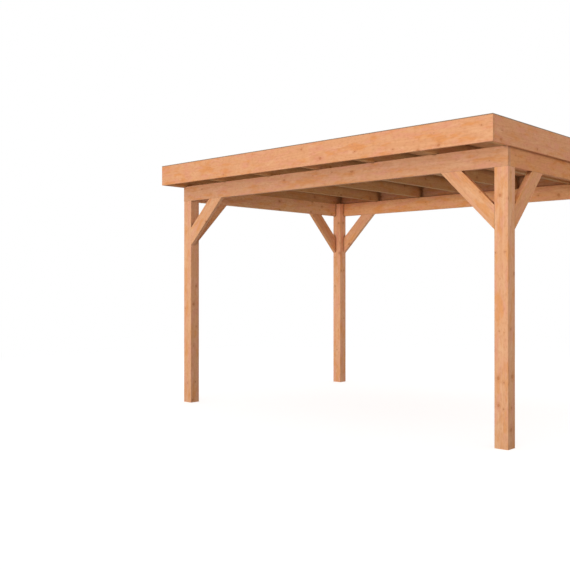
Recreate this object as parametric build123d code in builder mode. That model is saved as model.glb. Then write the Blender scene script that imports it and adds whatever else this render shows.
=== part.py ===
from build123d import *

import os
from math import sqrt

# Garden veranda: an open timber frame on four posts under a flat roof.
# Millimetres, +Z up. The origin is on the ground in the middle of the footprint, +X runs along
# the front beam from left to right and +Y runs from the front to the back. The roof reaches out
# over the front beam only, so the posts stand a little behind the middle.

# Posts: square planed timber, standing free on the ground
post_side = 120
post_arris = 3
post_span_x = 3980  # over the outer faces of the left and right posts
post_span_y = 2760  # over the outer faces of the front and back posts

# Ring of beams, let into the outer faces of the post heads
clear_height = 2259  # ground to the underside of the beams
beam_thick = 45
beam_depth = 164
beam_arris = 2

# Corner braces, cut at 45 degrees between a post and a beam
brace_leg = 500  # post face to the toe of the brace, along the beam
brace_width = 140
brace_thick = 45
brace_arris = 2

# Joists on top of the beams, running from front to back
joist_count = 7
joist_thick = 45
joist_depth = 145
joist_arris = 2

# Fascia boards round the edge of the roof
eaves_overhang = 291  # outer face of the front posts to the outer face of the front fascia
fascia_thick = 28
fascia_height = 207
fascia_drop = 7  # the fascia's lower edge hangs this far below the top of the beams
fascia_arris = 2

# Roof boarding, rubber roof sheet and the capping over the fascia's top edge
deck_thick = 18
sheet_thick = 1.5
capping_thick = 6
capping_width = 45

# Levels and places that follow from the sizes above
beam_top = clear_height + beam_depth
joist_top = beam_top + joist_depth
deck_top = joist_top + deck_thick
fascia_bottom = beam_top - fascia_drop
fascia_top = fascia_bottom + fascia_height
outer_x = post_span_x / 2
outer_y = post_span_y / 2
roof_x = outer_x + fascia_thick
roof_y = (post_span_y + eaves_overhang + fascia_thick) / 2
fascia_back_y = roof_y - fascia_thick  # inner face of the front and back fascia
frame_mid_y = fascia_back_y - outer_y  # the back posts are flush with the back fascia's inner face
joist_pitch = (post_span_x - joist_thick) / (joist_count - 1)
beam_mid = (clear_height + beam_top) / 2
fascia_mid = (fascia_bottom + fascia_top) / 2

SIDES = {"left": -1, "right": 1}
ENDS = {"front": -1, "back": 1}

os.makedirs("parts", exist_ok=True)


def write(part, name):
    """Labels a finished piece and writes it."""
    part.label = name
    export_step(part, f"parts/{name}.step")


def planed_section(width, height, arris, centre):
    """A rectangle with eased corners, drawn in the sketch that is open."""
    with Locations(centre):
        section = Rectangle(width, height)
    chamfer(section.vertices(), arris)


def post(name, side, end):
    """A post whose head is notched on its two outer faces, where the beams seat."""
    centre_x = side * (outer_x - post_side / 2)
    centre_y = frame_mid_y + end * (outer_y - post_side / 2)
    seat_x = side * (outer_x - beam_thick / 2)
    seat_y = frame_mid_y + end * (outer_y - beam_thick / 2)
    with BuildPart() as piece:
        with BuildSketch(Plane.XY):
            planed_section(post_side, post_side, post_arris, (centre_x, centre_y))
        extrude(amount=beam_top)
        with Locations((centre_x, seat_y, beam_mid)):
            Box(post_side, beam_thick, beam_depth, mode=Mode.SUBTRACT)
        with Locations((seat_x, centre_y, beam_mid)):
            Box(beam_thick, post_side, beam_depth, mode=Mode.SUBTRACT)
    write(piece.part, name)


def cross_beam(name, end):
    """A front or back beam, which runs through to both corners."""
    seat_y = frame_mid_y + end * (outer_y - beam_thick / 2)
    with BuildPart() as piece:
        with BuildSketch(Plane.YZ):
            planed_section(beam_thick, beam_depth, beam_arris, (seat_y, beam_mid))
        extrude(amount=outer_x, both=True)
    write(piece.part, name)


def side_beam(name, side):
    """A left or right beam, which butts between the front and back beams."""
    seat_x = side * (outer_x - beam_thick / 2)
    with BuildPart() as piece:
        with BuildSketch(Plane.XZ.offset(-frame_mid_y)):
            planed_section(beam_thick, beam_depth, beam_arris, (seat_x, beam_mid))
        extrude(amount=outer_y - beam_thick, both=True)
    write(piece.part, name)


def brace(name, corner, along, inward):
    """A brace from a post up to a beam, flush with their outer faces.

    corner is where the post's face meets the beam's underside, on the outer face. along points
    away from the post under the beam, and inward from the outer face into the frame.
    """
    upper_leg = brace_leg - brace_width * sqrt(2)
    face = Plane(origin=corner, x_dir=along, z_dir=along.cross(Vector(0, 0, 1)))
    slope = Axis(corner, along + Vector(0, 0, 1))
    with BuildPart() as piece:
        with BuildSketch(face):
            with BuildLine():
                Polyline((0, -brace_leg), (0, -upper_leg), (upper_leg, 0), (brace_leg, 0), close=True)
            make_face()
        extrude(amount=brace_thick, dir=inward)
        chamfer(piece.edges().filter_by(slope), brace_arris)
    write(piece.part, name)


def joist(name, index):
    """A joist across the beams: out over the front one, and flush with the back one."""
    centre_x = -outer_x + joist_thick / 2 + index * joist_pitch
    with BuildPart() as piece:
        with BuildSketch(Plane.XZ):
            centre = (centre_x, (beam_top + joist_top) / 2)
            planed_section(joist_thick, joist_depth, joist_arris, centre)
        extrude(amount=fascia_back_y, both=True)
    write(piece.part, name)


def cross_fascia(name, end):
    """A front or back fascia board, nailed on the ends of the joists and, at the back, on the beam."""
    with BuildPart() as piece:
        with BuildSketch(Plane.YZ):
            centre = (end * (roof_y - fascia_thick / 2), fascia_mid)
            planed_section(fascia_thick, fascia_height, fascia_arris, centre)
        extrude(amount=roof_x, both=True)
    write(piece.part, name)


def side_fascia(name, side):
    """A left or right fascia board, nailed on the outer joist between the other two boards."""
    with BuildPart() as piece:
        with BuildSketch(Plane.XZ):
            centre = (side * (roof_x - fascia_thick / 2), fascia_mid)
            planed_section(fascia_thick, fascia_height, fascia_arris, centre)
        extrude(amount=fascia_back_y, both=True)
    write(piece.part, name)


def roof_deck():
    """The roof boarding on top of the joists, as one sheet inside the fascia."""
    with BuildPart() as piece:
        with BuildSketch(Plane.XY.offset(joist_top)):
            Rectangle(post_span_x, 2 * fascia_back_y)
        extrude(amount=deck_thick)
    write(piece.part, "roof_deck")


def roof_sheet():
    """The rubber sheet on the boarding, turned up all round behind the fascia."""
    with BuildPart() as piece:
        with BuildSketch(Plane.XY.offset(deck_top)):
            Rectangle(post_span_x, 2 * fascia_back_y)
        extrude(amount=fascia_top - deck_top)
        mouth = piece.faces().sort_by(Axis.Z)[-1]
        offset(amount=-sheet_thick, openings=mouth)
    write(piece.part, "roof_sheet")


def capping(name, half_length, half_span, turn):
    """A mitred capping strip over the fascia and the edge of the rubber sheet.

    half_length is along the strip and half_span from the roof's middle to the strip's outer edge.
    """
    inner_length = half_length - capping_width
    inner_span = half_span - capping_width
    with BuildPart() as piece:
        with BuildSketch(Plane.XY.offset(fascia_top).rotated((0, 0, turn))):
            with BuildLine():
                Polyline(
                    (-half_length, -half_span),
                    (half_length, -half_span),
                    (inner_length, -inner_span),
                    (-inner_length, -inner_span),
                    close=True,
                )
            make_face()
        extrude(amount=capping_thick)
    write(piece.part, name)


for end_name, end in ENDS.items():
    for side_name, side in SIDES.items():
        post(f"post_{end_name}_{side_name}", side, end)

for end_name, end in ENDS.items():
    cross_beam(f"beam_{end_name}", end)
for side_name, side in SIDES.items():
    side_beam(f"beam_{side_name}", side)

for end_name, end in ENDS.items():
    for side_name, side in SIDES.items():
        face_y = frame_mid_y + end * outer_y
        under_cross_beam = Vector(side * (outer_x - post_side), face_y, clear_height)
        brace(f"brace_{end_name}_{side_name}", under_cross_beam, Vector(-side, 0, 0), Vector(0, -end, 0))
        under_side_beam = Vector(side * outer_x, face_y - end * post_side, clear_height)
        brace(f"brace_{side_name}_{end_name}", under_side_beam, Vector(0, -end, 0), Vector(-side, 0, 0))

for index in range(joist_count):
    joist(f"joist_{index + 1}", index)

for end_name, end in ENDS.items():
    cross_fascia(f"fascia_{end_name}", end)
for side_name, side in SIDES.items():
    side_fascia(f"fascia_{side_name}", side)

roof_deck()
roof_sheet()

capping("capping_front", roof_x, roof_y, 0)
capping("capping_right", roof_y, roof_x, 90)
capping("capping_back", roof_x, roof_y, 180)
capping("capping_left", roof_y, roof_x, 270)
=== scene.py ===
import math
import random

import bmesh
import bpy
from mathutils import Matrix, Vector


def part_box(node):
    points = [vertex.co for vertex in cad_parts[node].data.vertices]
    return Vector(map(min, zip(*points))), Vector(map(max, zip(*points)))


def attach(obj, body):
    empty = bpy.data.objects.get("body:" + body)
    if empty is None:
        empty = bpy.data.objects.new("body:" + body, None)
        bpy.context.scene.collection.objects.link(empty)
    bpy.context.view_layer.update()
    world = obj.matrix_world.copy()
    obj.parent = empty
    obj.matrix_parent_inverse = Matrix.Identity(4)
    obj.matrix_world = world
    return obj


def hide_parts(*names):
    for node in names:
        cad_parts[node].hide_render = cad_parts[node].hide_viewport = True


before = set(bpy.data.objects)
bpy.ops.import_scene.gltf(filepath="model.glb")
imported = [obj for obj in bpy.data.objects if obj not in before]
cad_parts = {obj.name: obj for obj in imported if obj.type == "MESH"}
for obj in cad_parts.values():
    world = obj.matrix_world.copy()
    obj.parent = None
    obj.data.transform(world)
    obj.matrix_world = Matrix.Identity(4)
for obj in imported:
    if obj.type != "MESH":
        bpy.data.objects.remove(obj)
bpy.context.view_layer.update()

# Posts
# Four square posts of planed larch, sawn with the heart of the tree inside, oiled and stood on the
# ground. Their heads are notched for the beams, so end grain shows at the foot and in the notch.
ALONG_X = Vector((1, 0, 0))
UP = Vector((0, 0, 1))
ENDS = ("front", "back")
SIDES = ("left", "right")
# the back posts are coloured lighter than the front ones as painted light, making up for the light that
# the roof keeps from them
post_stains_and_painted_light = {"front": (232, 174, 130), "back": (250, 188, 141)}
post_heart = (-0.03, 0.03, 0.03)
tree_numbers = 40
# how far from a seam the painted shade in corners reaches, in metres
seam_painted_shade_reach = 0.05
draw = random.Random(11)


class Value:
    """A socket in a material's node tree. Arithmetic on values adds Math nodes to the tree."""

    def __init__(self, tree, socket=None):
        self.tree = tree
        self.socket = socket

    def node(self, kind, settings=None, sockets=None, out=0):
        """Adds a node of any other type: its settings come first, then its sockets' values or links."""
        made = self.tree.nodes.new("ShaderNode" + kind)
        for name, setting in (settings or {}).items():
            setattr(made, name, setting)
        for name, value in (sockets or {}).items():
            self.feed(self.pick(made.inputs, name), value)
        return Value(self.tree, self.pick(made.outputs, out))

    @staticmethod
    def pick(sockets, name):
        """The socket with this number, identifier or name."""
        if isinstance(name, int):
            return sockets[name]
        return next((s for s in sockets if s.identifier == name), None) or sockets[name]

    def feed(self, socket, value):
        """Links a value to a socket, or sets the socket to a plain number, vector or colour."""
        if isinstance(value, Value):
            self.tree.links.new(value.socket, socket)
        else:
            socket.default_value = value

    def maths(self, operation, *others):
        """A Math node on this value and the others."""
        return self.node("Math", {"operation": operation}, dict(enumerate((self, *others))))

    def __add__(self, other):
        return self.maths("ADD", other)

    def __sub__(self, other):
        return self.maths("SUBTRACT", other)

    def __rsub__(self, other):
        return self.node("Math", {"operation": "SUBTRACT"}, {0: other, 1: self})

    def __mul__(self, other):
        return self.maths("MULTIPLY", other)

    def __truediv__(self, other):
        return self.maths("DIVIDE", other)

    def __rtruediv__(self, other):
        return self.node("Math", {"operation": "DIVIDE"}, {0: other, 1: self})

    def __abs__(self):
        return self.maths("ABSOLUTE")

    __radd__ = __add__
    __rmul__ = __mul__

    def rise(self, low, high):
        """0 below low and 1 above high, with a smooth step between; high below low turns it round."""
        ends = {"Value": self, "From Min": low, "From Max": high}
        return self.node("MapRange", {"interpolation_type": "SMOOTHSTEP"}, ends)

    def blend(self, colour, share, way="MIX"):
        """This colour with a share of another one over it."""
        sockets = {"Factor_Float": share, "A_Color": self, "B_Color": colour}
        return self.node("Mix", {"data_type": "RGBA", "blend_type": way}, sockets, "Result_Color")

    def between(self, low, high):
        """The colour from low, where this value is 0, to high, where it is 1."""
        sockets = {"Factor_Float": self, "A_Color": low, "B_Color": high}
        return self.node("Mix", {"data_type": "RGBA"}, sockets, "Result_Color")

    def beside(self, out):
        """Another output of the node that this value comes from."""
        return Value(self.tree, self.socket.node.outputs[out])

    def parts(self):
        """The three numbers of a vector or colour."""
        x = self.node("SeparateXYZ", None, {0: self})
        return x, x.beside(1), x.beside(2)

    def dot(self, vector):
        """How far this place or normal reaches along a fixed vector."""
        return self.node("VectorMath", {"operation": "DOT_PRODUCT"}, {0: self, 1: tuple(vector)}, "Value")

    def vector(self, x, y, z):
        """A vector from three values or numbers."""
        return self.node("CombineXYZ", None, {0: x, 1: y, 2: z})

    def noise(self, scale, detail=2.0, roughness=0.5, out=0):
        """Smooth random values from 0 to 1 at this place."""
        sockets = {"Vector": self, "Scale": scale, "Detail": detail, "Roughness": roughness}
        return self.node("TexNoise", None, sockets, out)

    def bump(self, strength, distance):
        """The normal of a surface whose relief is this value."""
        return self.node("Bump", None, {"Height": self, "Strength": strength, "Distance": distance})


def paint(red, green, blue):
    """A colour as it is seen, 0 to 255, as Blender counts it."""
    seen = (c / 255 for c in (red, green, blue))
    return (*(c / 12.92 if c <= 0.04045 else ((c + 0.055) / 1.055) ** 2.4 for c in seen), 1)


def new_material(name):
    """An empty material: its tree as a Value, and its Principled shader."""
    material = bpy.data.materials.new(name)
    material.use_nodes = True
    tree = material.node_tree
    return material, Value(tree), tree.nodes["Principled BSDF"]


def timber(
    name, along, wide, half_section, centre, heart, seed, stain_and_painted_light, board_no=None, painted_shade_reach=seam_painted_shade_reach
):
    """Larch, cut from a tree whose heart runs along the piece at an offset (wide, deep).

    Growth rings and knots are laid round that heart, so that faces and ends agree.
    stain_and_painted_light is the colour of the light wood, made lighter on some pieces as painted
    light, and the other tones are shares of it. board_no names a face attribute that tells the boards
    of one mesh apart. painted_shade_reach is how far the painted shade at seams reaches.
    """
    light_wood = paint(*stain_and_painted_light)

    def tone(red, green, blue):
        """A tone of this wood, as shares of the light wood's red, green and blue."""
        return (light_wood[0] * red, light_wood[1] * green, light_wood[2] * blue, 1)

    rose = tone(1.0, 0.92, 1.06)
    ochre = tone(0.96, 0.79, 0.52)
    pale = tone(1.08, 1.22, 1.32)
    late_wood = tone(0.76, 0.6, 0.48)
    resin = tone(0.6, 0.36, 0.25)
    knot_rim = tone(0.6, 0.42, 0.3)
    knot_core = tone(0.7, 0.52, 0.4)
    fibre_shade = (0.62, 0.48, 0.38, 1)
    swirl_shade = (0.7, 0.52, 0.4, 1)
    end_shade = (0.78, 0.7, 0.64, 1)
    painted_shade_colour = (0.4, 0.34, 0.28, 1)

    # sizes in metres
    arris_width = 0.004
    arris_fade = 0.003
    heart_sway = 0.05
    ring_width = 0.0052
    ring_wobble = 0.012
    knot_step = 0.21
    knot_wobble = 0.004
    knot_ring_width = 0.0022
    largest_knot = 0.015
    least_reach = 0.0005

    # waves to a metre, cells to a radian, and how far apart two trees' numbers lie
    heart_waves = 0.55
    knot_turn = 1.1
    seed_step = 7.31

    # shares of one, and of a knot's own size
    knot_scatter = 0.75
    bare_cell_share = 0.5
    smallest_knot_share = 0.2
    knot_oval = 0.78
    knot_edge = 0.12
    swirl_reach = 3.2
    ring_bend = 1.4

    material, v, shader = new_material(name)
    deep = along.cross(wide)
    half_wide, half_deep = half_section
    stand = v.node("TexCoord", out="Object")
    place = v.node("VectorMath", {"operation": "SUBTRACT"}, {0: stand, 1: tuple(centre)})
    run, across, depth = place.dot(along), place.dot(wide), place.dot(deep)
    start = seed * seed_step
    if board_no:
        number = v.node("Attribute", {"attribute_name": board_no}, out="Fac")
        middle = v.node("Attribute", {"attribute_name": board_no + "_middle"}, out="Fac")
        across = across - middle
        start = number * seed_step + start
    near_edge = (abs(across) - half_wide + arris_width).rise(0, arris_fade)
    arris = near_edge * (abs(depth) - half_deep + arris_width).rise(0, arris_fade)

    def grain(lengthwise, crosswise, detail, roughness=0.5, out=0):
        """Noise with this many waves to a metre along and across the grain."""
        spot = v.vector(run * lengthwise + start, across * crosswise, depth * crosswise)
        return spot.noise(1.0, detail, roughness, out)

    # the heart wanders a little along the tree
    wander = v.vector(run * heart_waves + start, seed, 0).noise(scale=1.0, detail=1.0, out="Color")
    sway, swing, _ = wander.parts()
    off_wide = across - heart[0] + (sway - 0.5) * heart_sway
    off_deep = depth - heart[1] + (swing - 0.5) * heart_sway
    radius = (off_wide * off_wide + off_deep * off_deep).maths("SQRT")
    turn = off_deep.maths("ARCTAN2", off_wide)

    # knots grow outward from the heart, at most one to a cell of length and turn, each of its own size
    cell_run = run / knot_step + start
    cell_turn = turn * knot_turn + seed
    cells = {"Vector": v.vector(cell_run, cell_turn, 0), "Scale": 1.0, "Randomness": knot_scatter}
    found = v.node("TexVoronoi", {"voronoi_dimensions": "2D"}, cells, "Position")
    branch_run, branch_turn, _ = found.parts()
    dice = found.beside("Color").parts()[0]
    knot_growth = (1 - smallest_knot_share) / (1 - bare_cell_share)
    knot_size = dice.maths("GREATER_THAN", bare_cell_share) * ((dice - 1) * knot_growth + 1) * largest_knot
    knot_along = (cell_run - branch_run) * knot_step * knot_oval
    knot_around = (cell_turn - branch_turn) / knot_turn * radius
    wobble = place.noise(scale=60.0, detail=1.0) * knot_wobble
    from_knot = (knot_along * knot_along + knot_around * knot_around).maths("SQRT") + wobble
    knot = from_knot.rise(knot_size * (1 + knot_edge), knot_size * (1 - knot_edge))
    knot = knot * knot_size.rise(0.001, 0.004)
    knot_ring = (from_knot * (2 * math.pi / knot_ring_width)).maths("SINE")
    knot_colour = from_knot.rise(knot_size * 0.62, knot_size * 0.95).between(knot_core, knot_rim)
    knot_colour = knot_colour.blend(resin, knot_ring.rise(-0.2, 1.0) * 0.4)
    swirl = (from_knot / (knot_size * swirl_reach + least_reach)).rise(1.0, 0.1)

    # growth rings, bent round the knots and finely uneven
    uneven = grain(lengthwise=2, crosswise=20, detail=3.0)
    rings = (radius + swirl * knot_size * ring_bend + uneven * ring_wobble) / ring_width
    ring = rings.maths("FLOOR")
    part = rings - ring
    late = part.rise(0.35, 0.9) * part.rise(1.0, 0.94)
    ring_tone = v.vector(ring * 1.11 + start, run * 0.45, 0).noise(scale=1.0, detail=1.0)
    late = late * (ring_tone * 1.1 + 0.2)

    # the oil takes unevenly: rosy, yellow and pale blotches, darker flecks, fibres, streaks of resin
    blotches = grain(lengthwise=4.5, crosswise=16, detail=3.0, roughness=0.6, out="Color")
    rosy, yellow, faded = blotches.parts()
    fleck = grain(lengthwise=30, crosswise=55, detail=2.0, roughness=0.6)
    fibre = grain(lengthwise=5, crosswise=420, detail=2.0)
    streak = grain(lengthwise=48, crosswise=260, detail=1.0)
    face = v.node("NewGeometry", out="True Normal")
    end = abs(face.dot(along)).rise(0.8, 0.95)

    # painted shade: the wood is darkened at seams and in corners, wherever other surfaces lie close, but
    # not near the ground
    painted_shade_mask = v.node("AmbientOcclusion", {"samples": 16}, {"Distance": painted_shade_reach}, "AO").rise(0.85, 0.45)
    painted_shade_mask = painted_shade_mask * stand.dot(UP).rise(0.02, 0.08)

    # what lies over the light wood, in order: its colour, where it shows, how strongly, how it mixes
    wood = rosy.rise(0.54, 0.38).between(light_wood, rose)
    layers = (
        (ochre, yellow.rise(0.5, 0.66), 0.8, "MIX"),
        (pale, faded.rise(0.5, 0.66), 0.5, "MIX"),
        (late_wood, late, 0.34, "MIX"),
        (late_wood, fleck.rise(0.46, 0.7), 0.34, "MIX"),
        (resin, streak.rise(0.64, 0.8), 0.3, "MIX"),
        (fibre_shade, fibre.rise(0.5, 0.85), 0.25, "MULTIPLY"),
        (swirl_shade, swirl * knot_size.rise(0.001, 0.006), 0.35, "MULTIPLY"),
        (knot_colour, knot, 0.75, "MIX"),
        (end_shade, end, 0.35, "MULTIPLY"),
        # painted shade at seams and in corners
        (painted_shade_colour, painted_shade_mask, 0.8, "MULTIPLY"),
        (pale, arris, 0.12, "MIX"),
    )
    for colour, where, share, way in layers:
        wood = wood.blend(colour, where * share, way)
    v.feed(shader.inputs["Base Color"], wood)

    dull = 0.8 - late * 0.06 + fibre * 0.1 - knot * 0.1 + end * 0.1
    v.feed(shader.inputs["Roughness"], dull)
    relief = late * 0.5 + fibre * 0.5 - knot * 0.6
    v.feed(shader.inputs["Normal"], relief.bump(strength=0.35, distance=0.0006))
    shader.inputs["Specular IOR Level"].default_value = 0.15
    return material


def give(node, material):
    """Makes this the only material of a CAD piece."""
    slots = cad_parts[node].data.materials
    slots.clear()
    slots.append(material)


def dress(node, along, wide, heart, seed, stain_and_painted_light, painted_shade_reach=seam_painted_shade_reach):
    """Gives a straight CAD piece its timber, fitted to the piece's own box."""
    low, high = (Vector(c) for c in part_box(node))
    middle = (low + high) / 2
    half = (high - low) / 2
    half_section = (abs(half.dot(wide)), abs(half.dot(along.cross(wide))))
    name = "wood_" + node
    wood = timber(name, along, wide, half_section, middle, heart, seed, stain_and_painted_light, painted_shade_reach=painted_shade_reach)
    give(node, wood)


def find_heart(near, far, stray):
    """Where the tree's heart lies: from near to far across the piece, and this far to either side."""
    return draw.uniform(near, far), draw.uniform(-stray, stray)


def new_tree():
    """A number that tells one tree's grain from another's."""
    return draw.uniform(0, tree_numbers)


for end in ENDS:
    for side in SIDES:
        dress(f"post_{end}_{side}", UP, ALONG_X, find_heart(*post_heart), new_tree(), post_stains_and_painted_light[end])

# Beams
# Four planed larch planks on edge, let into the post heads and screwed from inside. The front and
# back ones run through to the corners, so their end grain shows on the sides.
ALONG_Y = Vector((0, 1, 0))
# the back and left beams are coloured lighter than the others as painted light, making up for the light
# that the roof keeps from them
beam_stains_and_painted_light = {
    "front": (219, 163, 122),
    "back": (252, 188, 133),
    "left": (246, 193, 141),
    "right": (222, 155, 104),
}
beam_heart = (0.13, 0.19, 0.06)
for end in ENDS:
    dress(f"beam_{end}", ALONG_X, ALONG_Y, find_heart(*beam_heart), new_tree(), beam_stains_and_painted_light[end])
for side in SIDES:
    dress(f"beam_{side}", ALONG_Y, ALONG_X, find_heart(*beam_heart), new_tree(), beam_stains_and_painted_light[side])

# Braces
# Eight short planks of planed larch, cut at 45 degrees at both ends and fixed between a post and a
# beam, flush with their outer faces.
# the back braces are coloured lighter than the front ones as painted light, making up for the light that
# the roof keeps from them
cross_brace_stains_and_painted_light = {"front": (229, 171, 127), "back": (251, 191, 141)}
side_brace_stains = {"left": (236, 173, 122), "right": (228, 167, 118)}
brace_heart = (0.13, 0.19, 0.05)
brace_width = 0.14


def dress_brace(node, outward, seed, stain_and_painted_light):
    """A brace's timber runs up its slope. outward points along the beam, towards the post."""
    low, high = (Vector(c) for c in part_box(node))
    thick = min(high - low)
    slope = (UP - outward).normalized()
    flat = UP.cross(outward)
    centre = (low + high) / 2 + (UP + outward) * (brace_width / math.sqrt(2) / 2)
    half_section = (thick / 2, brace_width / 2)
    wood = timber("wood_" + node, slope, flat, half_section, centre, find_heart(*brace_heart), seed, stain_and_painted_light)
    give(node, wood)


for end, away in zip(ENDS, (-1, 1)):
    for side, out in zip(SIDES, (-1, 1)):
        dress_brace(f"brace_{end}_{side}", ALONG_X * out, new_tree(), cross_brace_stains_and_painted_light[end])
        dress_brace(f"brace_{side}_{end}", ALONG_Y * away, new_tree(), side_brace_stains[side])

# Joists
# Planed larch joists on edge across the front and back beams, nailed from above and cut off flush
# behind the fascia. The painted shade at their seams reaches further down from the boards than elsewhere.
joist_stain = (213, 167, 114)
joist_heart = (0.13, 0.19, 0.05)
joist_painted_shade_reach = 0.12
joists = sorted(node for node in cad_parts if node.startswith("joist_"))
for node in joists:
    dress(node, ALONG_Y, ALONG_X, find_heart(*joist_heart), new_tree(), joist_stain, joist_painted_shade_reach)

# Roof boards
# Tongue-and-groove larch boards, laid tight across the joists with their V-joints down. Each board
# comes from another tree, so the grain changes from board to board.
board_cover = 0.1195
joint_bevel = 0.005
joint_gap = 0.0006
board_stain = (244, 187, 133)
board_heart = (0.02, 0.07)
board_seed = 3.0
deck_low, deck_high = (Vector(c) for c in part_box("roof_deck"))


def board_mesh(name, low, high, cover):
    """Boards side by side between two corners, with bevelled joints below, as one mesh."""
    count = round((high.y - low.y) / cover)
    step = (high.y - low.y) / count
    shape = bmesh.new()
    number = shape.faces.layers.float.new("board")
    middle = shape.faces.layers.float.new("board_middle")
    for index in range(count):
        near = low.y + index * step + joint_gap / 2
        far = near + step - joint_gap
        section = (
            (near, high.z),
            (near, low.z + joint_bevel),
            (near + joint_bevel, low.z),
            (far - joint_bevel, low.z),
            (far, low.z + joint_bevel),
            (far, high.z),
        )
        left = [shape.verts.new((low.x, y, z)) for y, z in section]
        right = [shape.verts.new((high.x, y, z)) for y, z in section]
        faces = [shape.faces.new(left[::-1]), shape.faces.new(right)]
        for corner in range(len(section)):
            after = (corner + 1) % len(section)
            faces.append(shape.faces.new((left[corner], left[after], right[after], right[corner])))
        board = draw.uniform(0, 1)
        for face in faces:
            face[number] = board
            face[middle] = (near + far) / 2
    bmesh.ops.recalc_face_normals(shape, faces=shape.faces)
    mesh = bpy.data.meshes.new(name)
    shape.to_mesh(mesh)
    shape.free()
    piece = bpy.data.objects.new(name, mesh)
    bpy.context.scene.collection.objects.link(piece)
    return piece


boards = board_mesh("roof_boards", deck_low, deck_high, board_cover)
half_section = (board_cover / 2, (deck_high.z - deck_low.z) / 2)
middle = UP * ((deck_low.z + deck_high.z) / 2)
wood = timber(
    "wood_roof_boards", ALONG_X, ALONG_Y, half_section, middle,
    board_heart, board_seed, board_stain, board_no="board",
)
boards.data.materials.append(wood)
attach(boards, "root")
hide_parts("roof_deck")

# Fascia
# Deep planed larch boards round the roof, nailed to the joists. The front and back boards run
# through, so a strip of their end grain shows at each corner.
fascia_stains = {
    "front": (227, 165, 120),
    "back": (226, 176, 132),
    "left": (226, 163, 118),
    "right": (226, 162, 117),
}
fascia_heart = (0.15, 0.22, 0.04)
for end in ENDS:
    dress(f"fascia_{end}", ALONG_X, ALONG_Y, find_heart(*fascia_heart), new_tree(), fascia_stains[end])
for side in SIDES:
    dress(f"fascia_{side}", ALONG_Y, ALONG_X, find_heart(*fascia_heart), new_tree(), fascia_stains[side])

# Roof sheet
# One sheet of black roofing rubber, glued to the boards and turned up behind the fascia. It is matt,
# with faint dust where rain has dried.
rubber_black = paint(44, 44, 46)
rubber_scuffed = paint(70, 69, 68)
dried_dust = paint(96, 92, 86)
material, v, shader = new_material("roofing_rubber")
place = v.node("TexCoord", out="Object")
dust = place.noise(scale=1.7, detail=5.0, roughness=0.6)
fine = place.noise(scale=90.0, detail=3.0)
rubber = (dust.rise(0.45, 0.8) * 0.5).between(rubber_black, dried_dust)
rubber = rubber.blend(rubber_scuffed, fine.rise(0.5, 0.8) * 0.4)
v.feed(shader.inputs["Base Color"], rubber)
v.feed(shader.inputs["Roughness"], 0.62 + dust * 0.25)
wrinkle = place.noise(scale=5.0, detail=3.0) + fine * 0.05
v.feed(shader.inputs["Normal"], wrinkle.bump(strength=0.4, distance=0.004))
give("roof_sheet", material)

# Capping
# Flat aluminium strips with a bronze-brown coat, mitred at the corners and fixed down over the
# fascia's top edge and the edge of the rubber. Their edges are eased, so that the mitres show.
coat_light = paint(148, 121, 97)
coat_dark = paint(132, 107, 86)
capping_ease = 0.0012
material, v, shader = new_material("capping_coat")
place = v.node("TexCoord", out="Object")
cloud = place.noise(scale=3.0, detail=3.0)
grit = place.noise(scale=600.0, detail=2.0)
coat = (cloud.rise(0.35, 0.75) * 0.6).between(coat_light, coat_dark)
v.feed(shader.inputs["Base Color"], coat)
v.feed(shader.inputs["Roughness"], 0.42 + cloud * 0.15)
v.feed(shader.inputs["Normal"], grit.bump(strength=0.2, distance=0.0002))
for side in ENDS + SIDES:
    give(f"capping_{side}", material)
    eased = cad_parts[f"capping_{side}"].modifiers.new("eased_edges", "BEVEL")
    eased.width = capping_ease
    eased.segments = 2

# Studio
# A pale floor, brighter further out so that light reaches in under the roof from all round, an even
# white surround, and broad soft lamps: two in front, a weaker one behind and a faint one on the right.
floor_half = 40.0
floor_bounce = 0.33
dim_floor_radius = 2.2
far_floor_light = 0.77
floor_shade = 0.55
floor_glow = 0.74
shadow_fades = (4.0, 9.0)
ambient = 0.55
white = (1, 1, 1, 1)
scene = bpy.context.scene


def shown_as_white(v):
    """1 for what the camera sees straight, in a reflection or through glass."""
    seen = v.node("LightPath", out="Is Camera Ray")
    mirrored = seen.beside("Is Glossy Ray")
    through_glass = seen.beside("Is Transmission Ray")
    return seen.maths("MAXIMUM", mirrored).maths("MAXIMUM", through_glass)


material, v, shader = new_material("studio_floor")
shader.inputs["Base Color"].default_value = (floor_bounce, floor_bounce, floor_bounce, 1)
shader.inputs["Roughness"].default_value = 1.0
shader.inputs["Specular IOR Level"].default_value = 0.0
place = v.node("TexCoord", out="Object")
away = v.node("VectorMath", {"operation": "LENGTH"}, {0: place}, "Value")

# the light that the floor sends up to the object
near_floor = Value(v.tree, shader.outputs[0])
far_floor = v.node("Emission", None, {"Color": white, "Strength": far_floor_light})
brighter = (1 - dim_floor_radius / away).maths("MAXIMUM", 0.0)
lit_floor = v.node("MixShader", None, {0: brighter, 1: near_floor, 2: far_floor})

# the floor as it is seen: white, with the object's shadow near the object
pale_floor = v.node("BsdfDiffuse", None, {"Color": (floor_shade, floor_shade, floor_shade, 1)})
glow = v.node("Emission", None, {"Color": white, "Strength": floor_glow})
shaded_floor = v.node("AddShader", None, {0: pale_floor, 1: glow})
white_floor = v.node("Emission", None, {"Color": white, "Strength": 1.0})
seen_floor = v.node("MixShader", None, {0: away.rise(*shadow_fades), 1: shaded_floor, 2: white_floor})
floor_look = v.node("MixShader", None, {0: shown_as_white(v), 1: lit_floor, 2: seen_floor})
v.feed(v.tree.nodes["Material Output"].inputs["Surface"], floor_look)

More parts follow.
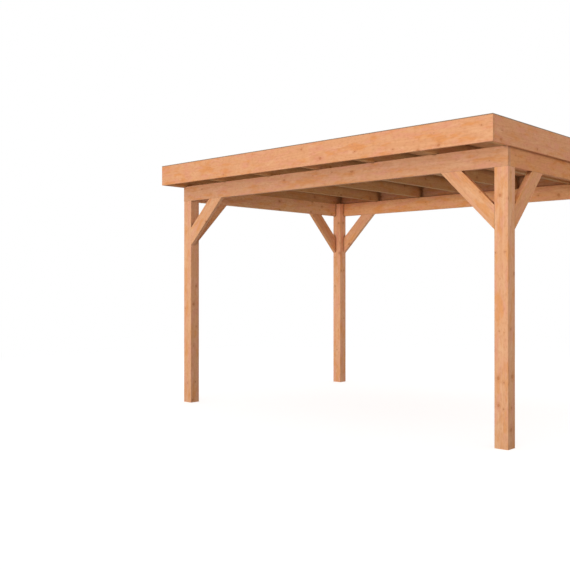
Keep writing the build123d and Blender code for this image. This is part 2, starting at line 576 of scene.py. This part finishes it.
ground = bpy.data.meshes.new("floor")
floor_corners = [(x * floor_half, y * floor_half, 0) for x, y in ((-1, -1), (1, -1), (1, 1), (-1, 1))]
ground.from_pydata(floor_corners, [], [(0, 1, 2, 3)])
ground.materials.append(material)
floor = bpy.data.objects.new("floor", ground)
scene.collection.objects.link(floor)

world = bpy.data.worlds.new("studio")
scene.world = world
world.use_nodes = True
v = Value(world.node_tree)
sky = world.node_tree.nodes["Background"]
sky.inputs["Color"].default_value = white
v.feed(sky.inputs["Strength"], shown_as_white(v) * (1 - ambient) + ambient)

lamp_distance = 30.0
lamp_width = 16.0
lamps = {
    "low_lamp": {"turn": 12, "low": 0.05, "high": 1.6, "power": 3245.0},
    "high_lamp": {"turn": 12, "low": 4.0, "high": 14.0, "power": 1320.0},
    "side_lamp": {"turn": 85, "low": 0.05, "high": 1.6, "power": 66.0},
    "back_lamp": {"turn": 215, "low": 0.05, "high": 6.0, "power": 1600.0},
}


def soft_lamp(name, turn, low, high, power):
    """A broad upright lamp, turned by degrees from the front to the right, that isn't seen itself."""
    lamp = bpy.data.lights.new(name, "AREA")
    lamp.shape = "RECTANGLE"
    lamp.size = lamp_width
    lamp.size_y = high - low
    lamp.energy = power
    holder = bpy.data.objects.new(name, lamp)
    outward = Vector((math.sin(math.radians(turn)), -math.cos(math.radians(turn)), 0))
    holder.location = outward * lamp_distance + UP * ((low + high) / 2)
    holder.rotation_euler = (-outward).to_track_quat("-Z", "Y").to_euler()
    holder.visible_camera = False
    scene.collection.objects.link(holder)


for name, settings in lamps.items():
    soft_lamp(name, **settings)

# Camera
# It stands at eye height some way in front of the right-hand corner and looks almost level, turned
# to the left, with the veranda's back right corner outside the picture.
eye = (5.0785, -7.1507, 1.3012)
tilt = math.radians(90.094)
turn = math.radians(43.024)
camera = bpy.data.cameras.new("camera")
camera.sensor_width = 36
camera.lens = 51.108
camera.clip_end = 200
viewer = bpy.data.objects.new("camera", camera)
viewer.location = eye
viewer.rotation_euler = (tilt, 0, turn)
scene.collection.objects.link(viewer)
scene.camera = viewer
scene.view_settings.view_transform = "Standard"
